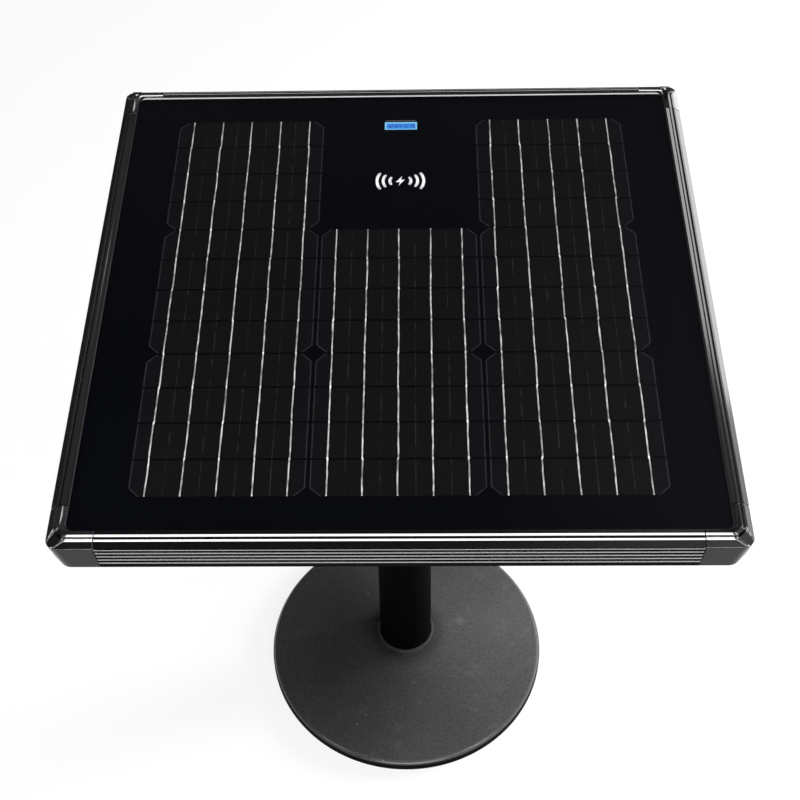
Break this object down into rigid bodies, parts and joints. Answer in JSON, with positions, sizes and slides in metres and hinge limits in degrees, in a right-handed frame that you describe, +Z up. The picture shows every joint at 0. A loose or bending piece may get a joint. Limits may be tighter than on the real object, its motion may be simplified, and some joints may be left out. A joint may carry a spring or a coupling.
{
  "type": "solar charging table",
  "caption": "Square table with solar cells under a framed glass top, a small display and a wireless charging spot, on a round column and a weighted cone base.",
  "frame": {"origin": "on the floor, under the middle of the column", "axes": "+Z up, +X to the right seen from the front, +Y towards the edge that has the display"},
  "size_m": [0.6, 0.6, 0.68],
  "materials": {
    "rail_black": "black anodised, satin",
    "cap_black": "glossy moulded black",
    "table_glass": "polished tempered glass",
    "clear_film": "clear bonding film",
    "solar_cell": "black monocrystalline cell",
    "ribbon_silver": "bright tinned ribbon",
    "black_film": "black sheet",
    "seat_foam": "black foam tape",
    "panel_black": "black powder coat",
    "zinc_steel": "zinc plated",
    "plate_black": "black powder coat",
    "column_black": "black powder coat, satin",
    "base_grey": "dark grey powder coat with a fine texture",
    "weight_iron": "cast, primed",
    "floor_rubber": "black rubber",
    "foot_black": "moulded black",
    "screen_blue": "lit blue display",
    "board_green": "circuit board",
    "tray_black": "moulded black",
    "coil_copper": "wound copper litz",
    "ferrite_grey": "sintered ferrite",
    "battery_sleeve": "blue shrink sleeve",
    "strap_steel": "plain sheet steel",
    "lead_black": "black insulated lead",
    "clip_black": "moulded black",
    "switch_black": "moulded black"
  },
  "bodies": {
    "table": {"front_rail": "rail_black", "right_rail": "rail_black", "rear_rail": "rail_black", "left_rail": "rail_black", "front_left_cap": "cap_black", "front_right_cap": "cap_black", "rear_right_cap": "cap_black", "rear_left_cap": "cap_black", "glass_top": "table_glass", "front_film": "clear_film", "solar_cells": "solar_cell", "cell_ribbons": "ribbon_silver", "rear_film": "black_film", "back_sheet": "black_film", "glass_seat_tape": "seat_foam", "bottom_panel": "panel_black", "front_beam": "panel_black", "rear_beam": "panel_black", "underside_screws": "zinc_steel", "inner_screws": "zinc_steel", "mounting_bolts": "zinc_steel", "mounting_nuts": "zinc_steel", "tie_rod": "zinc_steel", "tie_rod_nuts": "zinc_steel", "mounting_plate": "plate_black", "column_spigot": "plate_black", "column_tube": "column_black", "base_cover": "base_grey", "base_weight": "weight_iron", "floor_ring": "floor_rubber", "display_screen": "screen_blue", "display_board": "board_green", "charger_board": "board_green", "controller_board": "board_green", "battery_board": "board_green", "display_tray": "tray_black", "charger_tray": "tray_black", "junction_box": "tray_black", "controller_case": "tray_black", "controller_lid": "tray_black", "battery_tray": "tray_black", "charger_coil": "coil_copper", "charger_ferrite": "ferrite_grey", "battery_cells": "battery_sleeve", "battery_strap": "strap_steel", "solar_lead": "lead_black", "battery_lead": "lead_black", "charger_lead": "lead_black", "display_lead": "lead_black", "switch_lead": "lead_black", "lead_clips": "clip_black", "switch_housing": "switch_black"},
    "front_left_foot": {"front_left_foot": "foot_black"},
    "front_right_foot": {"front_right_foot": "foot_black"},
    "rear_right_foot": {"rear_right_foot": "foot_black"},
    "rear_left_foot": {"rear_left_foot": "foot_black"},
    "switch_rocker": {"switch_rocker": "switch_black"}
  },
  "joints": [
    {"name": "front_left_foot_slide", "type": "slide", "parent": "table", "child": "front_left_foot", "axis": [0, 0, -1], "range_m": [0, 0.006]},
    {"name": "front_right_foot_slide", "type": "slide", "parent": "table", "child": "front_right_foot", "axis": [0, 0, -1], "range_m": [0, 0.006]},
    {"name": "rear_right_foot_slide", "type": "slide", "parent": "table", "child": "rear_right_foot", "axis": [0, 0, -1], "range_m": [0, 0.006]},
    {"name": "rear_left_foot_slide", "type": "slide", "parent": "table", "child": "rear_left_foot", "axis": [0, 0, -1], "range_m": [0, 0.006]},
    {"name": "switch_rock", "type": "hinge", "parent": "table", "child": "switch_rocker", "pos_m": [0.16, 0.255, 0.6505], "axis": [0, 1, 0], "range_deg": [-20, 0]}
  ]
}
